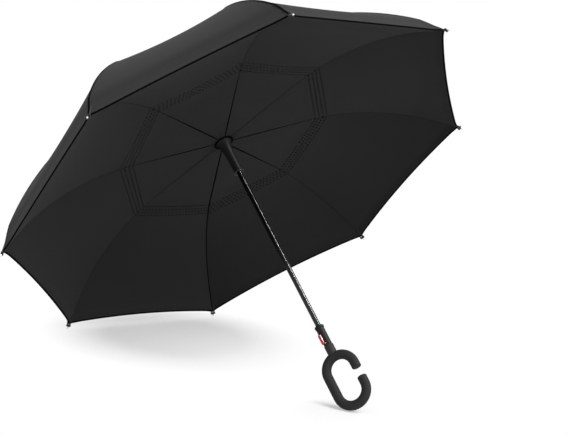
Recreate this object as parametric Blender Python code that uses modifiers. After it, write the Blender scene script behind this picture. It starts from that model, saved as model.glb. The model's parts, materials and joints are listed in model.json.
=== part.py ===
# An inverted umbrella, open, lying on two of its rib tips and on the bow of its C handle.
# Lengths are in metres. Every piece is built in the umbrella's own frame, where the shaft is
# the Z axis with the crown up and the rib tips lie in the plane Z = 0. One empty then tips
# that frame over until the two lowest rib tips and the handle touch the floor.
import math

import bmesh
import bpy
from mathutils import Matrix, Vector

# Canopy
RIB_COUNT = 8
TIP_RADIUS = 0.530
HEM_SETBACK = 0.007
HEM_HOLLOW = 0.0054
HEM_RISE = 0.0066
HEM_GAP = 0.0024
CLOTH_THICKNESS = 0.0006
INNER_DIP = 0.007
OUTER_DIP = 0.009
TIP_SLOT_HALF = 0.0062
TIP_SLOT_LENGTH = 0.016
TIP_SLOT_TAPER = 0.014
CLOTH_CENTRE_RADIUS = 0.0215

# Frame linkage: hinges on the runner, hinges on the crown, knuckles under the outer layer
HINGE_RADIUS = 0.016
HUB_HEIGHT = 0.1245
STRAIGHT_REACH = 0.212
CROWN_HEIGHT = 0.2412
KNUCKLE_RADIUS = 0.3075
KNUCKLE_HEIGHT = 0.2225
OUTER_BOW = 0.0185
TOP_BOW = 0.009
RIB_ROD_RADIUS = 0.0017
BOW_ROD_RADIUS = 0.0014
STRUT_ROD_RADIUS = 0.0015
SIDE_OFFSET = 0.0036
EYE_MARGIN = 0.0011
EYE_FLAT = 0.0002
TIP_PIN_RADIUS = 0.0016
TIP_PIN_LENGTH = 0.0075
TIP_PIN_SLOPE = math.radians(38)
HINGE_PIN_RADIUS = 0.0008
HINGE_WIRE_RADIUS = 0.0007

# Shaft, crown and runner
SHAFT_RADIUS = 0.0055
SHAFT_WALL = 0.0008
HUB_RADIUS = 0.0195
HUB_HALF_HEIGHT = 0.0040
SLOT_ROOT_RADIUS = 0.0120
CAP_RADIUS = 0.0150
CAP_HEIGHT = 0.0085
CAP_SPIGOT = 0.0030
SLEEVE_RADIUS = 0.0095
SLEEVE_HEAD_RADIUS = 0.0168
SLEEVE_HEAD_RIM = 0.0016
SLEEVE_HEAD_LENGTH = 0.0300
SLEEVE_NECK_RADIUS = 0.0104
SLEEVE_BOTTOM = 0.0423
LIP_RADIUS = 0.0112
LIP_HEIGHT = 0.0048
LIP_LEDGE = 0.0012

# Button housing and C handle
HOUSING_TOP = -0.3570
HOUSING_LENGTH = 0.0445
HOUSING_RADIUS = 0.0086
HOUSING_LEDGE = 0.0045
BUTTON_LENGTH = 0.0230
BUTTON_WIDTH = 0.0080
BUTTON_PROUD = 0.0024
BUTTON_TRAVEL = 0.0020
BUTTON_FLANGE = 0.0008
BUTTON_BODY_DEPTH = 0.0012
BUTTON_AZIMUTH = math.radians(168)
BUTTON_DROP = 0.0073
SPRING_RADIUS = 0.0019
SPRING_WIRE = 0.00022
SPRING_TURNS = 4
NECK_RADIUS = 0.0097
NECK_CHAMFER = 0.0010
C_LENGTH = 0.1270
C_WIDTH = 0.0803
C_TUBE_RADIUS = 0.0096
C_MOUTH = 0.0199
C_END_ROUNDING = 0.0022
C_CENTRE_HEIGHT = -0.4825
C_AZIMUTH = math.radians(299.5)
SHAFT_IN_HANDLE = 0.0150

# Clearance between touching pieces, running clearance, and how far a cutter overruns
GAP = 0.0003
RUNNING_GAP = 0.0004
OVERRUN = 0.0030

RIB_STEP = 2 * math.pi / RIB_COUNT
HALF_STEP = RIB_STEP / 2
FIRST_RIB = math.pi / 2 + HALF_STEP
HEM_RADIUS = TIP_RADIUS - HEM_SETBACK
SLOT_HALF_WIDTH = RIB_ROD_RADIUS + RUNNING_GAP
CLOTH_STANDOFF = RIB_ROD_RADIUS + GAP + CLOTH_THICKNESS / 2
ROD_REACH = SIDE_OFFSET + BOW_ROD_RADIUS
OUTER_STANDOFF = BOW_ROD_RADIUS + EYE_MARGIN + GAP + CLOTH_THICKNESS / 2 + ROD_REACH * math.sin(HALF_STEP)

RED = (0.42, 0.012, 0.016, 1.0)
BLACK_PLASTIC = (0.012, 0.012, 0.013, 1.0)
RUBBER = (0.030, 0.030, 0.031, 1.0)
STEEL = (0.030, 0.030, 0.032, 1.0)
BRIGHT = (0.60, 0.60, 0.60, 1.0)
CLOTH = (0.014, 0.014, 0.015, 1.0)
GLASS_FIBRE = (0.045, 0.045, 0.047, 1.0)


def clear_scene():
    for obj in list(bpy.data.objects):
        bpy.data.objects.remove(obj, do_unlink=True)


def make_collection(name):
    collection = bpy.data.collections.new(name)
    bpy.context.scene.collection.children.link(collection)
    return collection


def make_material(name, colour, roughness, metallic=0.0):
    material = bpy.data.materials.new(name)
    material.use_nodes = True
    shader = material.node_tree.nodes["Principled BSDF"]
    shader.inputs["Base Color"].default_value = colour
    shader.inputs["Roughness"].default_value = roughness
    shader.inputs["Metallic"].default_value = metallic
    return material


def from_bmesh(name, bm):
    bmesh.ops.recalc_face_normals(bm, faces=bm.faces)
    mesh = bpy.data.meshes.new(name)
    bm.to_mesh(mesh)
    bm.free()
    return link_temporary(name, mesh)


def link_temporary(name, mesh):
    obj = bpy.data.objects.new(name, mesh)
    bpy.context.scene.collection.objects.link(obj)
    return obj


def evaluated_mesh(obj, weld):
    """The mesh of obj with its modifiers or bevel applied. The object itself is removed."""
    bpy.context.view_layer.update()
    graph = bpy.context.evaluated_depsgraph_get()
    mesh = bpy.data.meshes.new_from_object(obj.evaluated_get(graph))
    mesh.transform(obj.matrix_world)
    bpy.data.objects.remove(obj, do_unlink=True)
    if weld:
        bm = bmesh.new()
        bm.from_mesh(mesh)
        bmesh.ops.remove_doubles(bm, verts=bm.verts, dist=GAP / 100)
        bmesh.ops.recalc_face_normals(bm, faces=bm.faces)
        bm.to_mesh(mesh)
        bm.free()
    return mesh


def boolean(body, tool, operation):
    modifier = body.modifiers.new(operation.lower(), "BOOLEAN")
    modifier.operation = operation
    modifier.solver = "EXACT"
    modifier.object = tool
    mesh = evaluated_mesh(body, weld=False)
    bpy.data.objects.remove(tool, do_unlink=True)
    return link_temporary("body", mesh)


def box(low, high):
    bm = bmesh.new()
    bmesh.ops.create_cube(bm, size=1)
    size = [top - bottom for bottom, top in zip(low, high)]
    middle = [(top + bottom) / 2 for bottom, top in zip(low, high)]
    bmesh.ops.scale(bm, vec=size, verts=bm.verts)
    bmesh.ops.translate(bm, vec=middle, verts=bm.verts)
    return from_bmesh("box", bm)


def cylinder(start, end, radius, end_radius=None, segments=16):
    start, end = Vector(start), Vector(end)
    direction = end - start
    bm = bmesh.new()
    bmesh.ops.create_cone(
        bm,
        cap_ends=True,
        segments=segments,
        radius1=radius,
        radius2=radius if end_radius is None else end_radius,
        depth=direction.length,
    )
    turn = direction.to_track_quat("Z", "Y").to_matrix().to_4x4()
    bmesh.ops.transform(bm, matrix=Matrix.Translation((start + end) / 2) @ turn, verts=bm.verts)
    return from_bmesh("cylinder", bm)


def turned(outline, steps=28):
    """A turned solid. The outline runs down its outer side first and closes on itself."""
    mesh = bpy.data.meshes.new("outline")
    corners = [(radius, 0, height) for radius, height in outline]
    closed = outline[0][0] > 0 or outline[-1][0] > 0
    last = len(corners) if closed else len(corners) - 1
    edges = [(i, (i + 1) % len(corners)) for i in range(last)]
    mesh.from_pydata(corners, edges, [])
    obj = link_temporary("turned", mesh)
    screw = obj.modifiers.new("turn", "SCREW")
    screw.steps = steps
    screw.render_steps = steps
    screw.use_merge_vertices = True
    screw.merge_threshold = GAP / 100
    return link_temporary("turned", evaluated_mesh(obj, weld=True))


def tube(points, radius, resolution=2, cyclic=False):
    curve = bpy.data.curves.new("tube", "CURVE")
    curve.dimensions = "3D"
    curve.bevel_depth = radius
    curve.bevel_resolution = resolution
    curve.use_fill_caps = not cyclic
    spline = curve.splines.new("POLY")
    spline.points.add(len(points) - 1)
    for place, point in zip(spline.points, points):
        place.co = (*point, 1)
    spline.use_cyclic_u = cyclic
    obj = bpy.data.objects.new("tube", curve)
    bpy.context.scene.collection.objects.link(obj)
    return link_temporary("tube", evaluated_mesh(obj, weld=True))


def arc_circle(start, end, bow):
    """Centre and radius of the circle through start and end that stands bow above their chord."""
    chord = (Vector(end) - Vector(start)).length
    radius = (chord * chord / 4 + bow * bow) / (2 * bow)
    middle = (Vector(start) + Vector(end)) / 2
    along = (Vector(end) - Vector(start)).normalized()
    upward = Vector((-along.y, along.x))
    if upward.y < 0:
        upward = -upward
    return middle - upward * (radius - bow), radius


def height_on_circle(circle, radius):
    centre, size = circle
    return centre.y + math.sqrt(size * size - (radius - centre.x) ** 2)


BEND_RADIUS = ((TIP_RADIUS - STRAIGHT_REACH) ** 2 + HUB_HEIGHT**2) / (2 * HUB_HEIGHT)
OUTER_CIRCLE = arc_circle((KNUCKLE_RADIUS, KNUCKLE_HEIGHT), (TIP_RADIUS, 0), OUTER_BOW)
OUTER_CLOTH_CIRCLE = (OUTER_CIRCLE[0], OUTER_CIRCLE[1] + OUTER_STANDOFF)
TOP_CLOTH_HEIGHT = CROWN_HEIGHT + HUB_HALF_HEIGHT + GAP + CLOTH_THICKNESS / 2
KNUCKLE_CLOTH_HEIGHT = height_on_circle(OUTER_CLOTH_CIRCLE, KNUCKLE_RADIUS)
TOP_CIRCLE = arc_circle(
    (HUB_RADIUS, TOP_CLOTH_HEIGHT), (KNUCKLE_RADIUS, KNUCKLE_CLOTH_HEIGHT), TOP_BOW
)


def rib_height(radius):
    """Centreline of a main rib: level near the hub, then bent down to its tip."""
    past = max(0.0, radius - STRAIGHT_REACH)
    return HUB_HEIGHT - BEND_RADIUS + math.sqrt(BEND_RADIUS**2 - past**2)


def spread(start, end, count):
    return [start + (end - start) * i / count for i in range(count + 1)]


def eye(radius, y_low, y_high, at=(0.0, 0.0), segments=10):
    return cylinder((at[0], y_low, at[1]), (at[0], y_high, at[1]), radius, segments=segments)


def main_rib_mesh():
    """A main rib in its own plane, with the runner hinge at the origin and a bright pin at its tip."""
    side = -SIDE_OFFSET
    reach = TIP_RADIUS - HINGE_RADIUS
    bends = spread(STRAIGHT_REACH, TIP_RADIUS, 8)
    points = [(0, side, 0)]
    points += [(r - HINGE_RADIUS, side, rib_height(r) - HUB_HEIGHT) for r in bends]
    body = tube(points, RIB_ROD_RADIUS)
    low, high = side - RIB_ROD_RADIUS + EYE_FLAT, side + RIB_ROD_RADIUS - EYE_FLAT
    eye_radius = RIB_ROD_RADIUS + EYE_MARGIN
    body = boolean(body, eye(eye_radius, low, high), "UNION")
    hole_radius = HINGE_WIRE_RADIUS + RUNNING_GAP
    body = boolean(body, eye(hole_radius, low - OVERRUN, high + OVERRUN), "DIFFERENCE")
    tip = (reach, -HUB_HEIGHT)
    post_end = SIDE_OFFSET - BOW_ROD_RADIUS - RUNNING_GAP
    body = boolean(body, eye(eye_radius, low, post_end, tip), "UNION")
    pin_end = SIDE_OFFSET + BOW_ROD_RADIUS + HINGE_PIN_RADIUS
    body = boolean(body, eye(HINGE_PIN_RADIUS, post_end - GAP, pin_end, tip), "UNION")
    outward = Vector((math.cos(TIP_PIN_SLOPE), 0, -math.sin(TIP_PIN_SLOPE)))
    root = Vector((tip[0], 0, tip[1]))
    pin = cylinder(root, root + outward * TIP_PIN_LENGTH, TIP_PIN_RADIUS, TIP_PIN_RADIUS * 0.8, 10)
    return boolean(body, pin, "UNION")


def bow_rib_mesh():
    """An outer rib, hinged at the tip of a main rib, which is its origin."""
    side = SIDE_OFFSET
    points = []
    for r in spread(TIP_RADIUS, KNUCKLE_RADIUS, 6):
        points.append((r - TIP_RADIUS, side, height_on_circle(OUTER_CIRCLE, r)))
    body = tube(points, BOW_ROD_RADIUS)
    low, high = side - BOW_ROD_RADIUS + EYE_FLAT, side + BOW_ROD_RADIUS - EYE_FLAT
    eye_radius = BOW_ROD_RADIUS + EYE_MARGIN
    body = boolean(body, eye(eye_radius, low, high), "UNION")
    hole_radius = HINGE_PIN_RADIUS + RUNNING_GAP
    body = boolean(body, eye(hole_radius, low - OVERRUN, high + OVERRUN), "DIFFERENCE")
    knuckle = (KNUCKLE_RADIUS - TIP_RADIUS, KNUCKLE_HEIGHT)
    return boolean(body, eye(eye_radius, low, high, knuckle), "UNION")


def strut_mesh():
    """A strut with its crown hinge at the origin and its knuckle eye under the outer layer."""
    knuckle = (KNUCKLE_RADIUS - HINGE_RADIUS, KNUCKLE_HEIGHT - CROWN_HEIGHT)
    body = tube([(0, 0, 0), (knuckle[0], 0, knuckle[1])], STRUT_ROD_RADIUS)
    eye_radius = STRUT_ROD_RADIUS + EYE_MARGIN
    half = STRUT_ROD_RADIUS - EYE_FLAT
    body = boolean(body, eye(eye_radius, -half, half), "UNION")
    hole_radius = HINGE_WIRE_RADIUS + RUNNING_GAP
    reach = STRUT_ROD_RADIUS + OVERRUN
    body = boolean(body, eye(hole_radius, -reach, reach), "DIFFERENCE")
    return boolean(body, eye(eye_radius, -half, half, knuckle), "UNION")


def gore_point(radius, height, across):
    """A point of a gore. Across is 0 on the rib plane and 1 on the gore's middle line."""
    half_chord = radius * math.sin(HALF_STEP)
    along = across * half_chord
    return Vector((radius - along * math.sin(HALF_STEP), along * math.cos(HALF_STEP), height))


def toward_middle(across):
    return 1 - (1 - across) ** 2


def hollowed(radius, across):
    """The radius drawn in toward a gore's middle line, most of all at the hem."""
    return radius * (1 - HEM_HOLLOW / HEM_RADIUS * toward_middle(across) * (radius / HEM_RADIUS) ** 2)


def middle_fall(radius, dip):
    """How far a layer hangs below its ribs at a gore's middle line. At the hem it stands above them."""
    slack = min(1.0, max(0.0, (HEM_RADIUS - radius) / (TIP_RADIUS - STRAIGHT_REACH)))
    return dip * 4 * slack * (1 - slack) - HEM_RISE * (radius / HEM_RADIUS) ** 4


def half_gore_mesh(side):
    """Half a gore of the canopy: its inner layer from the hub to the hem, and its outer layer back up
    to the knuckles. The edge beside the rib opens into a slot at the tip, where the ribs' ends pass."""
    slot_start = TIP_RADIUS - TIP_SLOT_LENGTH - TIP_SLOT_TAPER
    slot_full = TIP_RADIUS - TIP_SLOT_LENGTH
    hem_height = rib_height(HEM_RADIUS)

    def standoff(radius):
        share = (radius - slot_full) / (HEM_RADIUS - slot_full)
        return CLOTH_STANDOFF * (1 - min(1.0, max(0.0, share)))

    def edge(radius):
        share = min(1.0, max(0.0, (radius - slot_start) / TIP_SLOT_TAPER))
        return GAP + (TIP_SLOT_HALF - GAP) * share

    def inner(radius):
        return rib_height(radius) - standoff(radius)

    def outer(radius):
        share = min(1.0, max(0.0, (radius - slot_full) / (HEM_RADIUS - slot_full)))
        free = height_on_circle(OUTER_CLOTH_CIRCLE, min(radius, slot_full))
        return free + (hem_height + HEM_GAP - free) * share

    inner_radii = [CLOTH_CENTRE_RADIUS, STRAIGHT_REACH / 2] + spread(STRAIGHT_REACH, slot_start, 5)
    inner_radii += [slot_full, HEM_RADIUS]
    outer_radii = [HEM_RADIUS, slot_full] + spread(slot_start, KNUCKLE_RADIUS + GAP, 5)
    rows = [(r, inner(r), INNER_DIP) for r in inner_radii]
    rows.append((HEM_RADIUS + HEM_GAP / 2, hem_height + HEM_GAP / 2, 0.0))
    rows += [(r, outer(r), OUTER_DIP) for r in outer_radii]

    columns = 3
    bm = bmesh.new()
    grid = []
    for radius, height, dip in rows:
        half_chord = radius * math.sin(HALF_STEP)
        start = edge(radius) / half_chord
        end = 1 - (GAP / 2 + CLOTH_THICKNESS / 2) / half_chord
        line = []
        for across in spread(start, end, columns):
            fall = middle_fall(radius, dip) * toward_middle(across)
            point = gore_point(hollowed(radius, across), height - fall, across)
            line.append(bm.verts.new((point.x - HINGE_RADIUS, side * point.y, point.z - HUB_HEIGHT)))
        grid.append(line)
    for first, second in zip(grid, grid[1:]):
        for i in range(columns):
            bm.faces.new((first[i], first[i + 1], second[i + 1], second[i]))
    return thickened(bm)


def thickened(bm):
    obj = from_bmesh("cloth", bm)
    solidify = obj.modifiers.new("thickness", "SOLIDIFY")
    solidify.thickness = CLOTH_THICKNESS
    solidify.offset = 0
    return link_temporary("cloth", evaluated_mesh(obj, weld=True))


def top_gore_mesh():
    """A piece of the outer layer over one strut, from the crown to the knuckle, seen from its hinge."""
    columns = 2
    deepest = middle_fall(KNUCKLE_RADIUS, OUTER_DIP)
    inner_edge = (SHAFT_RADIUS + CAP_SPIGOT + 2 * GAP) / math.cos(HALF_STEP)
    radii = [inner_edge] + spread(HUB_RADIUS, KNUCKLE_RADIUS - GAP, 5)
    bm = bmesh.new()
    grid = []
    for radius in radii:
        level = radius <= HUB_RADIUS
        height = TOP_CLOTH_HEIGHT if level else height_on_circle(TOP_CIRCLE, radius)
        end = 1 - (GAP / 2 + CLOTH_THICKNESS / 2) / (radius * math.sin(HALF_STEP))
        line = []
        for side, shares in ((-1, spread(end, 0, columns)), (1, spread(0, end, columns)[1:])):
            for across in shares:
                fall = 0.0 if level else deepest * toward_middle(across) * radius / KNUCKLE_RADIUS
                point = gore_point(hollowed(radius, across), height - fall, across)
                line.append(bm.verts.new((point.x - HINGE_RADIUS, side * point.y, point.z - CROWN_HEIGHT)))
        grid.append(line)
    for first, second in zip(grid, grid[1:]):
        for i in range(2 * columns):
            bm.faces.new((first[i], first[i + 1], second[i + 1], second[i]))
    return thickened(bm)


def hinge_wire(height):
    """The wire that threads the rib hinges: a ring with one straight side for each rib."""
    corner = HINGE_RADIUS / math.cos(HALF_STEP)
    points = []
    for i in range(RIB_COUNT):
        angle = FIRST_RIB + (i + 1 / 2) * RIB_STEP
        points.append((corner * math.cos(angle), corner * math.sin(angle), height))
    return points


def slotted_ring(height, slot_low, slot_high, slot_side, slot_width):
    """A ring on the shaft with a slot for each rib root and a tunnel for the wire."""
    low, high = height - HUB_HALF_HEIGHT, height + HUB_HALF_HEIGHT
    bore = SHAFT_RADIUS + RUNNING_GAP
    chamfer = HUB_HALF_HEIGHT / 4
    body = turned(
        [
            (HUB_RADIUS - chamfer, high),
            (HUB_RADIUS, high - chamfer),
            (HUB_RADIUS, low + chamfer),
            (HUB_RADIUS - chamfer, low),
            (bore, low),
            (bore, high),
        ],
        steps=32,
    )
    for i in range(RIB_COUNT):
        slot = box(
            (SLOT_ROOT_RADIUS, slot_side - slot_width, height + slot_low),
            (HUB_RADIUS + OVERRUN, slot_side + slot_width, height + slot_high),
        )
        slot.matrix_world = Matrix.Rotation(FIRST_RIB + i * RIB_STEP, 4, "Z")
        body = boolean(body, slot, "DIFFERENCE")
    tunnel = tube(hinge_wire(height), HINGE_WIRE_RADIUS + GAP, resolution=1, cyclic=True)
    return boolean(body, tunnel, "DIFFERENCE")


def runner_hub():
    floor = -(RIB_ROD_RADIUS + EYE_MARGIN + RUNNING_GAP)
    top = HUB_HALF_HEIGHT + OVERRUN
    return slotted_ring(HUB_HEIGHT, floor, top, -SIDE_OFFSET, SLOT_HALF_WIDTH)


def crown():
    roof = STRUT_ROD_RADIUS + EYE_MARGIN + RUNNING_GAP
    bottom = -(HUB_HALF_HEIGHT + OVERRUN)
    return slotted_ring(CROWN_HEIGHT, bottom, roof, 0, STRUT_ROD_RADIUS + RUNNING_GAP)


def crown_cap():
    """The cap over the outer layer's centre, with a socket for the end of the shaft."""
    seat = CROWN_HEIGHT + HUB_HALF_HEIGHT + GAP
    rim = seat + CLOTH_THICKNESS + GAP
    top = rim + CAP_HEIGHT
    socket = SHAFT_RADIUS + GAP
    spigot = socket + CAP_SPIGOT - GAP
    shoulder = CAP_HEIGHT / 4
    outline = [(0, top)]
    for i in range(1, 7):
        angle = math.pi / 2 * i / 6
        outline.append((CAP_RADIUS * math.sin(angle), rim + shoulder + (CAP_HEIGHT - shoulder) * math.cos(angle)))
    outline += [(CAP_RADIUS, rim), (spigot, rim), (spigot, seat), (socket, seat)]
    socket_top = seat + CAP_SPIGOT + GAP
    outline += [(socket, socket_top), (0, socket_top)]
    return turned(outline)


def shaft():
    top = CROWN_HEIGHT + HUB_HALF_HEIGHT + CAP_SPIGOT
    bottom = HOUSING_TOP - HOUSING_LENGTH - SHAFT_IN_HANDLE
    bore = SHAFT_RADIUS - SHAFT_WALL
    return turned([(SHAFT_RADIUS, top), (SHAFT_RADIUS, bottom), (bore, bottom), (bore, top)])


def runner_sleeve():
    """The long sleeve under the hub, with a funnel-shaped head where the inner layer is gathered."""
    top = HUB_HEIGHT - HUB_HALF_HEIGHT - GAP
    rim = top - SLEEVE_HEAD_RIM
    bore = SHAFT_RADIUS + RUNNING_GAP
    outline = [(SLEEVE_HEAD_RADIUS, top)]
    for share in spread(0, 1, 4):
        narrowing = SLEEVE_HEAD_RADIUS - SLEEVE_NECK_RADIUS
        outline.append((SLEEVE_NECK_RADIUS + narrowing * (1 - share) ** 2, rim - SLEEVE_HEAD_LENGTH * share))
    outline += [
        (SLEEVE_RADIUS, SLEEVE_BOTTOM + 2 * LIP_HEIGHT),
        (SLEEVE_RADIUS, SLEEVE_BOTTOM + GAP),
        (bore, SLEEVE_BOTTOM + GAP),
        (bore, top),
    ]
    return turned(outline)


def runner_lip():
    """The ring at the sleeve's lower end, which meets the button housing when closed."""
    top, bottom = SLEEVE_BOTTOM, SLEEVE_BOTTOM - LIP_HEIGHT
    bore = SHAFT_RADIUS + RUNNING_GAP
    outline = [
        (LIP_RADIUS - LIP_LEDGE, top),
        (LIP_RADIUS, top - LIP_LEDGE),
        (LIP_RADIUS, bottom + LIP_LEDGE),
        (LIP_RADIUS - LIP_LEDGE, bottom),
        (bore, bottom),
        (bore, top),
    ]
    return turned(outline)


def button_housing():
    """The housing under the runner's stop, with a raised ledge and a pocket for the button."""
    top, bottom = HOUSING_TOP, HOUSING_TOP - HOUSING_LENGTH
    bore = SHAFT_RADIUS + GAP
    ledge = HOUSING_RADIUS + LIP_LEDGE
    outline = [
        (HOUSING_RADIUS, top),
        (ledge, top - LIP_LEDGE),
        (ledge, top - HOUSING_LEDGE),
        (HOUSING_RADIUS, top - HOUSING_LEDGE - LIP_LEDGE),
        (HOUSING_RADIUS, bottom),
        (bore, bottom),
        (bore, top),
    ]
    body = turned(outline)
    middle = button_height()
    mouth = box(
        (SHAFT_RADIUS, -BUTTON_WIDTH / 2 - GAP, middle - BUTTON_LENGTH / 2 - GAP),
        (HOUSING_RADIUS + OVERRUN, BUTTON_WIDTH / 2 + GAP, middle + BUTTON_LENGTH / 2 + GAP),
    )
    mouth.matrix_world = Matrix.Rotation(BUTTON_AZIMUTH, 4, "Z")
    return boolean(body, mouth, "DIFFERENCE")


def button_height():
    return HOUSING_TOP - HOUSING_LENGTH / 2 - BUTTON_DROP


def release_button():
    """The sliding button, a rounded key whose outer face is crowned, at its own place on +X."""
    outer = HOUSING_RADIUS + BUTTON_PROUD
    inner = SHAFT_RADIUS + GAP + BUTTON_TRAVEL + SPRING_WIRE
    body = box(
        (inner, -BUTTON_WIDTH / 2, -BUTTON_LENGTH / 2),
        (outer, BUTTON_WIDTH / 2, BUTTON_LENGTH / 2),
    )
    bevel = body.modifiers.new("rounding", "BEVEL")
    bevel.width = BUTTON_FLANGE
    bevel.segments = 2
    bevel.limit_method = "ANGLE"
    body = link_temporary("button", evaluated_mesh(body, weld=True))
    pocket = cylinder(
        (inner - OVERRUN, 0, 0),
        (inner + BUTTON_BODY_DEPTH, 0, 0),
        SPRING_RADIUS + SPRING_WIRE + RUNNING_GAP,
        segments=16,
    )
    return boolean(body, pocket, "DIFFERENCE")


def button_spring():
    """The coil behind the button, wound about X between the shaft and the button's pocket."""
    start = SHAFT_RADIUS + GAP + SPRING_WIRE
    pocket_floor = SHAFT_RADIUS + GAP + BUTTON_TRAVEL + SPRING_WIRE + BUTTON_BODY_DEPTH
    end = pocket_floor - GAP - SPRING_WIRE
    points = []
    steps_per_turn = 8
    count = SPRING_TURNS * steps_per_turn
    for i in range(count + 1):
        angle = 2 * math.pi * i / steps_per_turn
        along = start + (end - start) * i / count
        points.append((along, SPRING_RADIUS * math.cos(angle), SPRING_RADIUS * math.sin(angle)))
    return tube(points, SPRING_WIRE, resolution=1)


def c_path():
    """The centreline of the C in its own plane: out from the closed side, with its mouth at +X."""
    bend = C_WIDTH / 2 - C_TUBE_RADIUS
    straight = C_LENGTH / 2 - C_TUBE_RADIUS - bend
    steps = 11
    points = [(bend, C_MOUTH / 2)]
    if straight > C_MOUTH / 2:
        points.append((bend, straight))
    for i in range(1, steps + 1):
        angle = math.pi * i / steps
        points.append((bend * math.cos(angle), straight + bend * math.sin(angle)))
    for i in range(steps + 1):
        angle = math.pi + math.pi * i / steps
        points.append((bend * math.cos(angle), -straight + bend * math.sin(angle)))
    points.append((bend, -C_MOUTH / 2))
    return points


def c_handle():
    """The moulded C grip with its neck, bored from above for the shaft."""
    turn = Matrix.Rotation(C_AZIMUTH, 3, "Z")
    points = [turn @ Vector((u, 0, C_CENTRE_HEIGHT + v)) for u, v in c_path()]
    body = tube(points, C_TUBE_RADIUS, resolution=3)
    bevel = body.modifiers.new("rounding", "BEVEL")
    bevel.width = C_END_ROUNDING
    bevel.segments = 2
    bevel.limit_method = "ANGLE"
    bevel.angle_limit = math.radians(60)
    body = link_temporary("handle", evaluated_mesh(body, weld=True))
    top = HOUSING_TOP - HOUSING_LENGTH - GAP
    arch = C_CENTRE_HEIGHT + C_LENGTH / 2 - C_TUBE_RADIUS
    neck = turned(
        [
            (0, top),
            (NECK_RADIUS - NECK_CHAMFER, top),
            (NECK_RADIUS, top - NECK_CHAMFER),
            (NECK_RADIUS, arch + C_TUBE_RADIUS),
            (C_TUBE_RADIUS - NECK_CHAMFER, arch),
            (0, arch),
        ]
    )
    body = boolean(body, neck, "UNION")
    shaft_end = HOUSING_TOP - HOUSING_LENGTH - SHAFT_IN_HANDLE
    bore = cylinder((0, 0, shaft_end - GAP), (0, 0, top + OVERRUN), SHAFT_RADIUS + GAP, segments=24)
    return boolean(body, bore, "DIFFERENCE")


def lean_angle():
    """How far the shaft tips back from upright, so that the two lowest rib tips and the handle's
    bow reach equally far toward the floor."""
    bend = C_WIDTH / 2 - C_TUBE_RADIUS
    straight = C_LENGTH / 2 - C_TUBE_RADIUS - bend
    pin_reach = TIP_RADIUS + TIP_PIN_LENGTH * math.cos(TIP_PIN_SLOPE)
    pin_drop = TIP_PIN_LENGTH * math.sin(TIP_PIN_SLOPE)

    def handle_below_tips(lean):
        down = Vector((0, math.sin(lean), -math.cos(lean)))
        sideways = math.hypot(math.sin(C_AZIMUTH) * down.y, down.z)
        handle = down.z * (C_CENTRE_HEIGHT - straight) + bend * sideways + C_TUBE_RADIUS
        tips = pin_reach * math.cos(HALF_STEP) * down.y - pin_drop * down.z
        return handle - tips

    low, high = 0.0, math.pi / 2
    for _ in range(40):
        middle = (low + high) / 2
        if handle_below_tips(middle) > 0:
            low = middle
        else:
            high = middle
    return low


def place(name, source, material, stance, collection, location=(0, 0, 0), turn=0.0):
    """A named piece from a temporary object's mesh, placed in the umbrella's frame."""
    mesh = source if isinstance(source, bpy.types.Mesh) else source.data
    mesh.name = name
    if not mesh.materials:
        mesh.materials.append(material)
    mesh.shade_smooth()
    mesh.set_sharp_from_angle(angle=math.radians(35))
    obj = bpy.data.objects.new(name, mesh)
    obj.location = location
    obj.rotation_euler = (0, 0, turn)
    obj.parent = stance
    collection.objects.link(obj)
    return obj


def stand_on_floor(stance, collection):
    """Puts the middle of the lying umbrella's footprint at the origin, on the floor."""
    bpy.context.view_layer.update()
    corners = [obj.matrix_world @ v.co for obj in collection.objects if obj.type == "MESH" for v in obj.data.vertices]
    lowest = [min(corner[i] for corner in corners) for i in range(3)]
    highest = [max(corner[i] for corner in corners) for i in range(3)]
    stance.location = (
        -(lowest[0] + highest[0]) / 2,
        -(lowest[1] + highest[1]) / 2,
        -lowest[2],
    )
    bpy.context.view_layer.update()


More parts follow.
